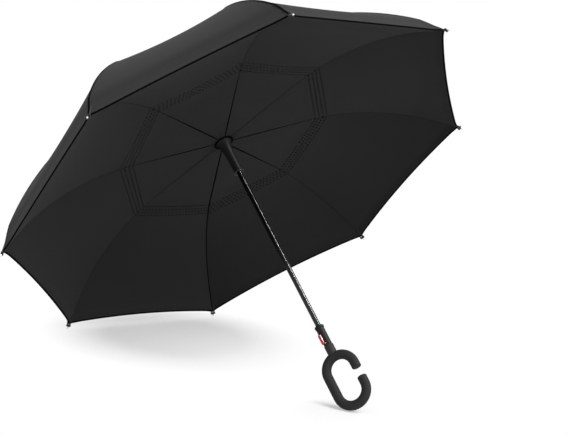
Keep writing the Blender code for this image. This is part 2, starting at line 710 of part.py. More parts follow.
def main():
    clear_scene()
    umbrella = make_collection("inverted_umbrella")
    cloth = make_material("canopy_cloth", CLOTH, 0.85)
    fibre = make_material("glass_fibre", GLASS_FIBRE, 0.45)
    steel = make_material("black_steel", STEEL, 0.28, 0.8)
    plastic = make_material("black_plastic", BLACK_PLASTIC, 0.38)
    rubber = make_material("soft_black_rubber", RUBBER, 0.62)
    red = make_material("red_plastic", RED, 0.30)
    bright = make_material("bright_metal", BRIGHT, 0.25, 1.0)

    stance = bpy.data.objects.new("lying_stance", None)
    stance.rotation_euler = (-lean_angle(), 0, 0)
    umbrella.objects.link(stance)

    def put(name, source, material, location=(0, 0, 0), turn=0.0):
        return place(name, source, material, stance, umbrella, location, turn)

    temporary = set(bpy.data.objects)
    put("shaft", shaft(), steel)
    put("crown", crown(), plastic)
    put("crown_wire", tube(hinge_wire(CROWN_HEIGHT), HINGE_WIRE_RADIUS, 1, True), bright)
    put("crown_cap", crown_cap(), plastic)
    put("runner_hub", runner_hub(), plastic)
    put("runner_wire", tube(hinge_wire(HUB_HEIGHT), HINGE_WIRE_RADIUS, 1, True), bright)
    put("runner_sleeve", runner_sleeve(), plastic)
    put("runner_lip", runner_lip(), plastic)
    put("button_housing", button_housing(), plastic)
    put("c_handle", c_handle(), rubber)
    put("release_button", release_button(), red, (0, 0, button_height()), BUTTON_AZIMUTH)
    put("button_spring", button_spring(), bright, (0, 0, button_height()), BUTTON_AZIMUTH)

    rib = main_rib_mesh().data
    bow = bow_rib_mesh().data
    strut = strut_mesh().data
    top_gore = top_gore_mesh().data
    left_gore = half_gore_mesh(1).data
    right_gore = half_gore_mesh(-1).data
    for i in range(RIB_COUNT):
        angle = FIRST_RIB + i * RIB_STEP
        outward = Vector((math.cos(angle), math.sin(angle), 0))
        hub_hinge = outward * HINGE_RADIUS + Vector((0, 0, HUB_HEIGHT))
        crown_hinge = outward * HINGE_RADIUS + Vector((0, 0, CROWN_HEIGHT))
        tip_hinge = outward * TIP_RADIUS
        put(f"main_rib_{i + 1}", rib, fibre, hub_hinge, angle)
        put(f"bow_rib_{i + 1}", bow, fibre, tip_hinge, angle)
        put(f"strut_{i + 1}", strut, steel, crown_hinge, angle)
        put(f"top_gore_{i + 1}", top_gore, cloth, crown_hinge, angle)
        put(f"gore_{i + 1}_left", left_gore, cloth, hub_hinge, angle)
        put(f"gore_{i + 1}_right", right_gore, cloth, hub_hinge, angle)

    for obj in list(bpy.context.scene.collection.objects):
        if obj not in temporary:
            bpy.data.objects.remove(obj, do_unlink=True)
    stand_on_floor(stance, umbrella)


main()
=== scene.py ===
import json
import math

import bmesh
import bpy
from mathutils import Matrix, Vector


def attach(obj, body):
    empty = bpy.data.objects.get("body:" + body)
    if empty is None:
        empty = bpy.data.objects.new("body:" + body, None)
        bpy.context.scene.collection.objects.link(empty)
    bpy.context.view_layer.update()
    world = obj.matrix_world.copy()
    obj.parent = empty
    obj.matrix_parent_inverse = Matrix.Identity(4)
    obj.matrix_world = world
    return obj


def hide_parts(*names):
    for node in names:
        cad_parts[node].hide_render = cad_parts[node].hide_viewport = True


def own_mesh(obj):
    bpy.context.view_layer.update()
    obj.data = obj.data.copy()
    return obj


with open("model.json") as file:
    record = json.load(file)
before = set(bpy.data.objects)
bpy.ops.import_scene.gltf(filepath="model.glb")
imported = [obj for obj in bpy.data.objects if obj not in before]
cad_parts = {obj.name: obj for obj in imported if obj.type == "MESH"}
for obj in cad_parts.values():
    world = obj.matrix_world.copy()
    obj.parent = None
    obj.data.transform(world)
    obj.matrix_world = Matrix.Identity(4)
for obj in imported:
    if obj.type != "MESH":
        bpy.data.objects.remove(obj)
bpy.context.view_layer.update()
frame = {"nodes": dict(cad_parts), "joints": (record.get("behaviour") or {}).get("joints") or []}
print("frame loaded:", len(frame["nodes"]), "nodes")


# shared sizes and the umbrella's own frame

umbrella = dict(
    ribs=8,
    tipRadius=0.530,  # shaft axis to rib tip
    hubHeight=0.1245,  # of the rib hinges above the plane of the rib tips
    hingeRadius=0.016,
    shaftRadius=0.0055,
)
gap = 0.0003
ribStep = 2 * math.pi / umbrella["ribs"]
halfStep = ribStep / 2
firstRib = math.pi / 2 + halfStep
joints = {joint["name"]: joint for joint in frame["joints"]}


def ribAzimuth(rib):
    return firstRib + (rib - 1) * ribStep


def stanceMatrix():
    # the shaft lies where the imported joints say: Z is up the shaft, and rib 1 fixes the turn about it
    hinges = [Vector(joints[f"main_rib_{rib}_hinge"]["pos_m"]) for rib in range(1, umbrella["ribs"] + 1)]
    hub = sum(hinges, Vector()) / len(hinges)
    up = -Vector(joints["runner_slide"]["axis"]).normalized()
    toFirst = (hinges[0] - hub).normalized()
    across = Matrix.Rotation(-firstRib, 3, up) @ toFirst
    side = up.cross(across)
    matrix = Matrix((across, side, up)).transposed().to_4x4()
    matrix.translation = hub - up * umbrella["hubHeight"]
    return matrix


stance = stanceMatrix()


# mesh helpers


def meshObject(name, bm, material=None, smoothAngle=40):
    bmesh.ops.recalc_face_normals(bm, faces=bm.faces)
    mesh = bpy.data.meshes.new(name)
    bm.to_mesh(mesh)
    bm.free()
    mesh.transform(stance)
    mesh.shade_smooth()
    mesh.set_sharp_from_angle(angle=math.radians(smoothAngle))
    made = bpy.data.objects.new(name, mesh)
    bpy.context.scene.collection.objects.link(made)
    if material:
        mesh.materials.append(material)
    return made


def joinRings(bm, rings, closed=False):
    # faces from each ring to the next; the end rings are joined, or else capped unless they are points
    pairs = list(zip(rings, rings[1:]))
    if closed:
        pairs.append((rings[-1], rings[0]))
    elif len(rings[0]) > 1:
        bm.faces.new(rings[0])
        bm.faces.new(list(reversed(rings[-1])))
    for first, second in pairs:
        for i in range(max(len(first), len(second))):
            corners = [first[i % len(first)], first[(i + 1) % len(first)]]
            corners += [second[(i + 1) % len(second)], second[i % len(second)]]
            bm.faces.new(list(dict.fromkeys(corners)))


def lathe(name, outline, material, steps=64, matrix=None):
    # outline holds (radius, height) pairs, and closes on itself where it never meets the axis
    bm = bmesh.new()
    rings = []
    for radius, height in outline:
        if radius < 1e-6:
            rings.append([bm.verts.new((0, 0, height))])
            continue
        angles = [2 * math.pi * i / steps for i in range(steps)]
        rings.append([bm.verts.new((radius * math.cos(a), radius * math.sin(a), height)) for a in angles])
    joinRings(bm, rings, closed=len(rings[0]) > 1)
    if matrix:
        bmesh.ops.transform(bm, matrix=matrix, verts=bm.verts)
    return meshObject(name, bm, material)


def sweep(name, points, radii, material, segments):
    # a round solid along points, with a radius at each
    bm = bmesh.new()
    points = [Vector(p) for p in points]
    side = None
    rings = []
    for i, point in enumerate(points):
        ahead = (points[min(i + 1, len(points) - 1)] - points[max(i - 1, 0)]).normalized()
        if side is None:
            side = ahead.orthogonal().normalized()
        side = (side - ahead * side.dot(ahead)).normalized()
        other = ahead.cross(side)
        ring = []
        for k in range(segments):
            angle = 2 * math.pi * k / segments
            ring.append(bm.verts.new(point + (side * math.cos(angle) + other * math.sin(angle)) * radii[i]))
        rings.append(ring)
    joinRings(bm, rings)
    return meshObject(name, bm, material, 50)


def spread(start, end, count):
    return [start + (end - start) * i / count for i in range(count + 1)]


def clamp(value):
    return min(1.0, max(0.0, value))


def ease(share):
    share = clamp(share)
    return share * share * (3 - 2 * share)


def roundedEdge(radius, height, size):
    # the points of a lathed solid's upper outer edge, from its top face to its side
    soft = size * 0.3
    return [(radius - size, height), (radius - soft, height - soft), (radius, height - size)]


# shader helper


class Wire:
    # one output socket of a node tree; sums on it add Math nodes
    def __init__(self, tree, socket=None):
        self.tree = tree
        self.socket = socket

    def node(self, kind, settings=None, sockets=None, output=0):
        made = self.tree.nodes.new(kind)
        for name, value in (settings or {}).items():
            setattr(made, name, value)
        for name, value in (sockets or {}).items():
            if isinstance(value, Wire):
                self.tree.links.new(value.socket, made.inputs[name])
            else:
                made.inputs[name].default_value = value
        return Wire(self.tree, made.outputs[output]) if made.outputs else None

    def other(self, output):
        # another output of the same node
        return Wire(self.tree, self.socket.node.outputs[output])

    def math(self, operation, first, second=0.0, clamped=False):
        settings = {"operation": operation, "use_clamp": clamped}
        return self.node("ShaderNodeMath", settings, {0: first, 1: second})

    def __add__(self, other):
        return self.math("ADD", self, other)

    def __radd__(self, other):
        return self.math("ADD", other, self)

    def __sub__(self, other):
        return self.math("SUBTRACT", self, other)

    def __rsub__(self, other):
        return self.math("SUBTRACT", other, self)

    def __mul__(self, other):
        return self.math("MULTIPLY", self, other)

    def __rmul__(self, other):
        return self.math("MULTIPLY", other, self)

    def __truediv__(self, other):
        return self.math("DIVIDE", self, other)

    def __rtruediv__(self, other):
        return self.math("DIVIDE", other, self)

    def clamped(self):
        return self.math("ADD", self, 0.0, clamped=True)

    def sine(self):
        return self.math("SINE", self)

    def mix(self, dark, light):
        # from the colour dark, where this is 0, to light, where it is 1
        sockets = {"Factor": self, 6: (*dark, 1), 7: (*light, 1)}
        return self.node("ShaderNodeMix", {"data_type": "RGBA"}, sockets, output=2)


def newMaterial(name, **shaderValues):
    # returns the material, a Wire to build on, and its shader
    material = bpy.data.materials.new(name)
    material.use_nodes = True
    shader = material.node_tree.nodes["Principled BSDF"]
    for socket, value in shaderValues.items():
        shader.inputs[socket.replace("_", " ")].default_value = value
    return material, Wire(material.node_tree), shader


def plug(wire, shader, socket):
    wire.tree.links.new(wire.socket, shader.inputs[socket])


def noise(wire, place, scale, detail=2.0):
    return wire.node("ShaderNodeTexNoise", {}, {"Vector": place, "Scale": scale, "Detail": detail})


def bumped(wire, shader, height, distance, strength):
    sockets = {"Height": height, "Distance": distance, "Strength": strength}
    plug(wire.node("ShaderNodeBump", {}, sockets), shader, "Normal")


# cloth

clothLook = dict(
    # the outer layer's colours are lighter than the inner layer's, though both layers are one black cloth:
    # painted light on the outer layer, which faces the lamps
    inside=dict(dark=(0.0040, 0.0040, 0.0042), light=(0.0118, 0.0118, 0.0123), specular=0.2),
    outside=dict(dark=(0.0141, 0.0141, 0.0147), light=(0.0250, 0.0250, 0.0258), specular=0.09),
    sheen=0.03,
    plainTone=0.54,  # the least tone beside the stitches, which are darker with painted shade of their groove
    threadPitch=0.0007,  # metres
    stitchPitch=0.0034,
    stitchFromHem=0.0080,
    stitchWidth=0.0024,  # with the groove that they draw in the cloth, whose darkening is painted shade
    puckerPitch=0.0085,  # small creases that run out from each rib's seam
    puckerReach=0.020,
    reliefDepth=0.0006,
)
tapeLook = dict(  # darkest and lightest colour
    hem=((0.0018, 0.0018, 0.0019), (0.0040, 0.0040, 0.0042)),
    # inside: darker than the cloth, partly the seam itself and partly painted shade of its crease along the
    # rib; softInside: a paler copy, painted light, for seams that face the lamps
    inside=((0.0010, 0.0010, 0.0011), (0.0026, 0.0026, 0.0027)),
    softInside=((0.0118, 0.0118, 0.0122), (0.0150, 0.0150, 0.0155)),
    outside=((0.0024, 0.0024, 0.0025), (0.0050, 0.0050, 0.0052)),
)


def cutPlace(wire):
    # UVs are metres: out from the rib's seam, and back from the hem
    axes = wire.node("ShaderNodeSeparateXYZ", {}, {0: wire.node("ShaderNodeUVMap", {"uv_map": "cut"})})
    return axes, axes.other(1)


def clothMaterial(name, dark, light, specular):
    # a plain weave with a line of stitches along the hem and puckers beside the ribs' seams
    sheen = dict(Sheen_Weight=clothLook["sheen"], Sheen_Roughness=0.5)
    material, wire, shader = newMaterial(name, Specular_IOR_Level=specular, **sheen)
    place = wire.node("ShaderNodeTexCoord", output=3)
    across, back = cutPlace(wire)
    turns = 2 * math.pi / clothLook["threadPitch"]
    weave = (across * turns).sine() * (back * turns).sine()
    broad = noise(wire, place, scale=4.0, detail=3.0)
    fine = noise(wire, place, scale=260.0)
    slub = wire.node("ShaderNodeCombineXYZ", {}, {0: across * 900, 1: back * 60})
    threads = noise(wire, slub, scale=1.0)
    # the stitches darken the colour over stitchWidth: the thread's line, and beside it painted shade in the
    # groove they draw
    fromStitches = wire.math("ABSOLUTE", back - clothLook["stitchFromHem"])
    nearStitchesAndShade = 1 - wire.math("DIVIDE", fromStitches, clothLook["stitchWidth"], clamped=True)
    beat = (across * (2 * math.pi / clothLook["stitchPitch"])).sine() * 2.2 + 0.8
    stitchesWithShade = nearStitchesAndShade * beat.clamped()
    mottle = broad * 0.55 + fine * 0.22 + threads * 0.30 + weave * 0.05 - 0.03
    tone = mottle.clamped() * (1 - clothLook["plainTone"]) + clothLook["plainTone"]
    plug((tone * (1 - stitchesWithShade)).mix(dark, light), shader, "Base Color")
    plug(fine * 0.10 + 0.78, shader, "Roughness")
    fromSeam = wire.math("ABSOLUTE", across)
    nearSeam = (1 - fromSeam / clothLook["puckerReach"]).clamped()
    wobble = noise(wire, place, scale=22.0)
    waves = (back * (2 * math.pi / clothLook["puckerPitch"]) + wobble * 9).sine()
    folds = noise(wire, place, scale=16.0, detail=3.0)
    height = weave * 0.08 + fine * 0.22 + threads * 0.16 + folds * 1.4 - stitchesWithShade * 0.8
    height = height + waves * nearSeam * nearSeam * 0.45
    bumped(wire, shader, height, clothLook["reliefDepth"], strength=0.6)
    return material


def tapeMaterial(name, dark, light):
    # bound edges and seams: the cloth folded over, too fine to show its weave
    material, wire, shader = newMaterial(name, Specular_IOR_Level=0.01)
    place = wire.node("ShaderNodeTexCoord", output=3)
    fine = noise(wire, place, scale=420.0)
    broad = noise(wire, place, scale=60.0)
    plug((fine * 0.6 + broad * 0.4).clamped().mix(dark, light), shader, "Base Color")
    plug(fine * 0.12 + 0.74, shader, "Roughness")
    bumped(wire, shader, fine * 0.7 + broad * 0.5, distance=0.0005, strength=0.7)
    return material


insideCloth = clothMaterial("inside_cloth", **clothLook["inside"])
# made lighter than inside_cloth as painted light; the cloth is the same on both layers
outsideCloth = clothMaterial("outside_cloth", **clothLook["outside"])
hemTape = tapeMaterial("hem_binding", *tapeLook["hem"])
# inside_seam carries painted shade of the seams' creases, and soft_inside_seam painted light for seams that
# face the lamps
seamTape = tapeMaterial("inside_seam", *tapeLook["inside"])
softSeamTape = tapeMaterial("soft_inside_seam", *tapeLook["softInside"])
outerTape = tapeMaterial("outside_seam", *tapeLook["outside"])
print("cloth materials made")


# plastics and metals

plasticLook = {
    "sleeve_plastic": dict(
        dark=(0.009, 0.009, 0.0095), light=(0.016, 0.016, 0.0167), roughness=0.54, specular=0.16
    ),
    "satin_neck": dict(
        dark=(0.030, 0.030, 0.031), light=(0.040, 0.040, 0.041), roughness=0.50, specular=0.08
    ),
    "black_plastic": dict(
        dark=(0.012, 0.012, 0.013), light=(0.019, 0.019, 0.020), roughness=0.48, specular=0.10
    ),
    "dark_glass_fibre": dict(
        dark=(0.014, 0.014, 0.015), light=(0.024, 0.024, 0.025), roughness=0.48, specular=0.2
    ),
    "soft_touch_grip": dict(
        dark=(0.024, 0.024, 0.0247), light=(0.031, 0.031, 0.0318), roughness=0.66, specular=0.08,
        grain=700.0, grainDepth=0.00006,
    ),
    "red_button": dict(
        dark=(0.42, 0.010, 0.012), light=(0.55, 0.020, 0.020), roughness=0.26, specular=0.3,
        coat=0.1, grain=500.0, grainDepth=0.00002,
    ),
}
metalLook = {
    "black_painted_steel": dict(
        dark=(0.002, 0.002, 0.0022), light=(0.004, 0.004, 0.0044), roughness=0.24, specular=0.55,
        metallic=0.3, grain=2400.0,
    ),
    "bright_metal": dict(dark=(0.60, 0.60, 0.61), light=(0.76, 0.76, 0.77), roughness=0.34),
    "satin_ring": dict(dark=(0.06, 0.06, 0.063), light=(0.09, 0.09, 0.094), roughness=0.46),
}


def plasticMaterial(name, dark, light, roughness, specular, coat=0.0, grain=900.0, grainDepth=0.00004):
    # moulded plastic: a fine grain, with slight wear in its gloss
    gloss = dict(Specular_IOR_Level=specular, Coat_Weight=coat, Coat_Roughness=0.12)
    material, wire, shader = newMaterial(name, **gloss)
    place = wire.node("ShaderNodeTexCoord", output=3)
    fine = noise(wire, place, grain)
    broad = noise(wire, place, scale=45.0, detail=3.0)
    plug((broad * 0.7 + fine * 0.3).clamped().mix(dark, light), shader, "Base Color")
    plug(broad * 0.14 + (roughness - 0.07), shader, "Roughness")
    bumped(wire, shader, fine, grainDepth, strength=0.5)
    return material


def metalMaterial(name, dark, light, roughness, metallic=1.0, specular=0.5, grain=320.0):
    # metal with a fine grain and an uneven gloss
    material, wire, shader = newMaterial(name, Metallic=metallic, Specular_IOR_Level=specular)
    place = wire.node("ShaderNodeTexCoord", output=3)
    fine = noise(wire, place, grain, detail=3.0)
    broad = noise(wire, place, scale=30.0)
    plug((broad * 0.6 + fine * 0.4).clamped().mix(dark, light), shader, "Base Color")
    plug(fine * 0.10 + broad * 0.08 + (roughness - 0.09), shader, "Roughness")
    bumped(wire, shader, fine, distance=0.00002, strength=0.4)
    return material


finishes = {name: plasticMaterial(name, **look) for name, look in plasticLook.items()}
finishes.update({name: metalMaterial(name, **look) for name, look in metalLook.items()})
print("plastics and metals made")


# canopy

canopy = dict(
    hubRadius=0.0205,  # the inner layer's opening round the runner
    hubRows=(0.024, 0.029, 0.036, 0.046, 0.060),  # closer rows of points near the hub
    evenFrom=0.075,
    straightReach=0.212,  # ribs run level this far out, then bend
    hemRadius=0.5245,
    hemHollow=0.0054,  # how far each hem curves in between two tips
    hemRise=0.0066,  # and up toward the crown
    hemWidth=0.0095,
    hemStep=0.0004,  # reach of the step up to the hem's doubled cloth
    hemRaise=0.0004,
    hemClosing=1.25,  # slope of the outer layer down to the hem
    bindingInside=0.0034,  # width of the bound edge on the inner layer
    bindingOutside=0.0012,
    foldHalf=0.0013,
    foldStart=0.0008,
    foldTurns=(-50, 0, 50),  # degrees round the fold
    cornerPull=0.0030,  # each corner runs out a little to its rib tip
    cornerShare=0.14,
    cornerFrom=0.5,
    underRib=0.0025,  # inner layer below the ribs' centrelines
    overRib=0.0050,  # outer layer outside the outer ribs' centrelines
    knuckleRadius=0.3075,
    knuckleHeight=0.2225,
    outerBow=0.0185,
    topBow=0.011,
    shoulder=0.018,  # reach of the soft bend over the struts' ends
    topLap=0.0040,  # the middle layer runs on under the outer one
    topUnder=0.0009,
    topUnderReach=0.012,
    topFlat=0.16,  # share of its width that the middle layer keeps when folded
    crownClothHeight=0.2458,
    crownClothEdge=0.0195,  # the outer layer lies level in from here
    crownInner=(0.0098, 0.015),  # rows of points inside that edge
    crownOuter=(0.024, 0.032),  # and outside it
    topEvenFrom=0.045,
    innerDip=0.007,
    outerDip=0.009,
    tipStart=0.497,  # where the layers begin to close on the tip
    cellsAcross=11,  # of half a gore
    bandStart=0.2296,
    bandRows=4,
    bandPitch=0.0095,
    bandShift=(0.003, -0.026, 0.004, 0.004, 0.003, -0.012, 0.003, 0.003),  # at each rib
    shiftFrom=0.05,  # the shift fades out toward these radii
    shiftTo=0.46,
    holeRadius=0.0022,
    stagger=0.22,  # of alternate rows, in cells
    gatherDepth=0.0012,
    gatherReach=0.055,
    thickness=0.0004,
    flatLayer=0.06,  # share of its depth that the cloth keeps when folded
)
reach = umbrella["tipRadius"] - canopy["straightReach"]
bendRadius = (reach**2 + umbrella["hubHeight"] ** 2) / (2 * umbrella["hubHeight"])


def circleThrough(start, end, bow):
    start, end = Vector(start), Vector(end)
    chord = end - start
    radius = (chord.length**2 / 4 + bow * bow) / (2 * bow)
    outward = Vector((-chord.y, chord.x)).normalized()
    if outward.y < 0:
        outward = -outward
    return (start + end) / 2 - outward * (radius - bow), radius


def onCircle(circle, radius):
    centre, size = circle
    return centre.y + math.sqrt(size * size - (radius - centre.x) ** 2)


outerRibCircle = circleThrough(
    (canopy["knuckleRadius"], canopy["knuckleHeight"]), (umbrella["tipRadius"], 0), canopy["outerBow"]
)
outerCircle = (outerRibCircle[0], outerRibCircle[1] + canopy["overRib"])
knuckleClothHeight = onCircle(outerCircle, canopy["knuckleRadius"])
topCircle = circleThrough(
    (canopy["crownClothEdge"], canopy["crownClothHeight"]),
    (canopy["knuckleRadius"], knuckleClothHeight),
    canopy["topBow"],
)


def slopeOn(circle, radius):
    centre, size = circle
    return -(radius - centre.x) / math.sqrt(size * size - (radius - centre.x) ** 2)


knuckleSlopes = [slopeOn(circle, canopy["knuckleRadius"]) for circle in (topCircle, outerCircle)]


def shoulderCut(radius):
    # rounds the outer layer's bend where the struts end
    left = max(0.0, canopy["shoulder"] - abs(radius - canopy["knuckleRadius"]))
    return (knuckleSlopes[0] - knuckleSlopes[1]) * left * left / (4 * canopy["shoulder"])


def shoulderRows(side):
    # radii through that bend, from its edge to its middle; side is 1 beyond the struts' ends
    span = side * canopy["shoulder"]
    return [canopy["knuckleRadius"] + span * share for share in (0.75, 0.5, 0.25, 0)]


def innerHeight(radius):
    past = max(0.0, radius - canopy["straightReach"])
    level = umbrella["hubHeight"] - bendRadius + math.sqrt(bendRadius**2 - past**2)
    return level - canopy["underRib"]


def outerHeight(radius):
    share = ease((radius - canopy["tipStart"]) / (canopy["hemRadius"] - canopy["tipStart"]))
    closed = innerHeight(canopy["hemRadius"]) + 2 * canopy["foldHalf"]
    spanned = onCircle(outerCircle, radius) - shoulderCut(radius)
    closing = closed + (canopy["hemRadius"] - radius) * canopy["hemClosing"]
    return spanned * (1 - share) + closing * share


def topHeight(radius):
    if radius <= canopy["crownClothEdge"]:
        return canopy["crownClothHeight"]
    circle = outerCircle if radius > canopy["knuckleRadius"] else topCircle
    return onCircle(circle, radius) - shoulderCut(radius)


def towardMiddle(across):
    return 1 - (1 - across) ** 2


def middleFall(radius, dip):
    # a layer hangs below its ribs between them, and its hem stands above them
    slack = clamp((canopy["hemRadius"] - radius) / reach)
    return dip * 4 * slack * (1 - slack) - canopy["hemRise"] * (radius / canopy["hemRadius"]) ** 4


def gorePoint(rib, side, radius, height, across):
    # across is 0 on the rib's plane and 1 on the gore's middle line; side is 1 to the left of the rib
    hem = canopy["hemRadius"]
    hollow = 1 - canopy["hemHollow"] / hem * towardMiddle(across) * (radius / hem) ** 2
    corner = max(0.0, 1 - across / canopy["cornerShare"]) ** 2
    corner *= ease((radius - canopy["cornerFrom"]) / (hem - canopy["cornerFrom"]))
    radius = radius * hollow + canopy["cornerPull"] * corner
    along = across * radius * math.sin(halfStep)
    flat = Vector((radius - along * math.sin(halfStep), side * along * math.cos(halfStep), height))
    return Matrix.Rotation(ribAzimuth(rib), 3, "Z") @ flat


def innerPoint(rib, side, radius, across, lift=0.0):
    fall = middleFall(radius, canopy["innerDip"]) * towardMiddle(across)
    near = clamp(1 - (radius - canopy["hubRadius"]) / canopy["gatherReach"])
    fall += canopy["gatherDepth"] * near**2 * (0.5 - 0.5 * math.cos(across * 4 * math.pi))
    return gorePoint(rib, side, radius, innerHeight(radius) - fall - lift, across)


def outerPoint(rib, side, radius, across, lift=0.0):
    fall = middleFall(radius, canopy["outerDip"]) * towardMiddle(across)
    return gorePoint(rib, side, radius, outerHeight(radius) - fall + lift, across)


def topPoint(rib, side, radius, across):
    knuckle, dip = canopy["knuckleRadius"], canopy["outerDip"]
    if radius > knuckle:
        fall = middleFall(radius, dip) * towardMiddle(across)
    elif radius <= canopy["crownClothEdge"]:
        fall = 0.0
    else:
        fall = middleFall(knuckle, dip) * towardMiddle(across) * radius / knuckle
    fall += canopy["topUnder"] * ease(1 + (radius - knuckle) / canopy["topUnderReach"])
    return gorePoint(rib, side, radius, topHeight(radius) - fall, across)


def foldPlane(rib, side):
    # the plane that half a gore folds into: through its rib's chord and the middle of its hem
    azimuth = ribAzimuth(rib)
    outward = Vector((math.cos(azimuth), math.sin(azimuth), 0))
    start = outward * umbrella["hingeRadius"] + Vector((0, 0, umbrella["hubHeight"]))
    tip = outward * umbrella["tipRadius"]
    middle = innerPoint(rib, side, canopy["hemRadius"], 1.0)
    return start, (tip - start).cross(middle - start).normalized()


def bandEnd():
    return canopy["bandStart"] + canopy["bandRows"] * canopy["bandPitch"]


def bandShiftAt(rib, side, radius, across):
    # the fabric isn't cut quite evenly: the rows of holes sit further in at two of the ribs
    shifts = canopy["bandShift"]
    beside = shifts[(rib - 1 + side) % umbrella["ribs"]]
    shift = shifts[rib - 1] * (1 - across / 2) + beside * across / 2
    rising = ease((radius - canopy["shiftFrom"]) / (canopy["bandStart"] - canopy["shiftFrom"]))
    falling = 1 - ease((radius - bandEnd()) / (canopy["shiftTo"] - bandEnd()))
    return shift * rising * falling


class GoreGrid:
    # rows of points across a gore, each joined to the row before it, with flat cloth sizes as UVs
    def __init__(self):
        self.bm = bmesh.new()
        self.uv = self.bm.loops.layers.uv.new("cut")
        self.places = {}
        self.last = None

    def point(self, co, cut):
        vert = self.bm.verts.new(co)
        self.places[vert] = cut
        return vert

    def face(self, verts, slot):
        made = self.bm.faces.new(verts)
        made.material_index = slot
        for loop in made.loops:
            loop[self.uv].uv = self.places[loop.vert]

    def addRow(self, row, slot=0):
        if self.last:
            for i in range(len(row) - 1):
                self.face((self.last[i], self.last[i + 1], row[i + 1], row[i]), slot)
        self.last = row

    def addHoledRow(self, row, pointAt, low, high, shift, slot):
        # a cell takes two columns: a ring of faces between the cell's edge and its round hole
        last, size = self.last, canopy["holeRadius"]
        cells = (len(row) - 1) // 2
        middle = (low + high) / 2
        width = middle * math.sin(halfStep)
        between = [pointAt(middle, cell / cells) for cell in range(cells + 1)]
        for cell in range(cells):
            left, right = 2 * cell, 2 * cell + 2
            edge = [last[left], last[left + 1], last[right], between[cell + 1]]
            edge += [row[right], row[left + 1], row[left], between[cell]]
            centre = (cell + 0.5 + shift) / cells
            ring = []
            for k in range(len(edge)):
                angle = 2 * math.pi * k / len(edge) - 3 * math.pi / 4
                across = centre + size * math.cos(angle) / width
                ring.append(pointAt(middle + size * math.sin(angle), across))
            for k in range(len(edge)):
                after = (k + 1) % len(edge)
                self.face((edge[k], edge[after], ring[after], ring[k]), slot)
        self.last = row


def thicken(piece):
    solid = piece.modifiers.new("cloth thickness", "SOLIDIFY")
    solid.thickness = canopy["thickness"]
    solid.offset = 0
    bpy.context.view_layer.update()
    graph = bpy.context.evaluated_depsgraph_get()
    made = bpy.data.meshes.new_from_object(piece.evaluated_get(graph))
    made.set_sharp_from_angle(angle=math.radians(50))
    piece.modifiers.clear()
    piece.data = made


def goreSurface(rib, side):
    # half a gore: the inner layer out from the hub, round the hem, and the outer layer back in
    grid = GoreGrid()
    shares = spread(0.0, 1.0, 2 * canopy["cellsAcross"])
    hem, raised = canopy["hemRadius"], canopy["hemRaise"]
    hemStart, foldStart = hem - canopy["hemWidth"], hem - canopy["foldStart"]
    hemStep = hemStart + canopy["hemStep"]
    insideSlot, hemSlot, outsideSlot = 0, 1, 2

    def cutAt(radius, across):
        return (across * radius * math.sin(halfStep) * side, hem - radius)

    def inner(radius, across, lift=0.0):
        moved = radius + bandShiftAt(rib, side, radius, across)
        return grid.point(innerPoint(rib, side, moved, across, lift), cutAt(radius, across))

    def outer(radius, across, lift=0.0):
        return grid.point(outerPoint(rib, side, radius, across, lift), cutAt(radius, across))

    def row(maker, radius, lift=0.0):
        return [maker(radius, across, lift) for across in shares]

    def foldRow(turn):
        half = canopy["foldHalf"] + raised
        beyond = foldStart + half * math.cos(math.radians(turn))
        height = innerHeight(hem) + canopy["foldHalf"] + half * math.sin(math.radians(turn))
        made = []
        for across in shares:
            risen = height - middleFall(hem, 0.0) * towardMiddle(across)
            made.append(grid.point(gorePoint(rib, side, beyond, risen, across), cutAt(hem, across)))
        return made

    hubRows = [canopy["hubRadius"], *canopy["hubRows"]]
    for radius in hubRows + spread(canopy["evenFrom"], canopy["bandStart"], 12):
        grid.addRow(row(inner, radius), insideSlot)
    for i in range(canopy["bandRows"]):
        low = canopy["bandStart"] + i * canopy["bandPitch"]
        high = low + canopy["bandPitch"]
        shift = canopy["stagger"] if i % 2 else -canopy["stagger"]
        grid.addHoledRow(row(inner, high), inner, low, high, shift, insideSlot)
    for radius in spread(bandEnd(), hemStart, 20)[1:]:
        grid.addRow(row(inner, radius), insideSlot)
    grid.addRow(row(inner, hemStep, raised), insideSlot)
    grid.addRow(row(inner, hem - canopy["bindingInside"], raised), insideSlot)
    grid.addRow(row(inner, foldStart, raised), hemSlot)
    for turn in canopy["foldTurns"]:
        grid.addRow(foldRow(turn), hemSlot)
    grid.addRow(row(outer, foldStart, raised), hemSlot)
    grid.addRow(row(outer, hem - canopy["bindingOutside"], raised), hemSlot)
    grid.addRow(row(outer, hemStep, raised), outsideSlot)
    shoulderEdge = canopy["knuckleRadius"] + canopy["shoulder"]
    for radius in spread(hemStart, shoulderEdge, 18) + shoulderRows(1):
        grid.addRow(row(outer, radius), outsideSlot)
    return grid.bm


def gorePiece(rib, side):
    direction = "left" if side > 0 else "right"
    piece = meshObject(f"canopy_{rib}_{direction}", goreSurface(rib, side), smoothAngle=60)
    for material in (insideCloth, hemTape, outsideCloth):
        piece.data.materials.append(material)
    thicken(piece)
    start, normal = foldPlane(rib, side)
    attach(piece, f"gore_{rib}_{direction}_body")
    stance.to_3x3() @ normal
    stance @ start
    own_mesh(piece)
    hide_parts(f"gore_{rib}_{direction}")


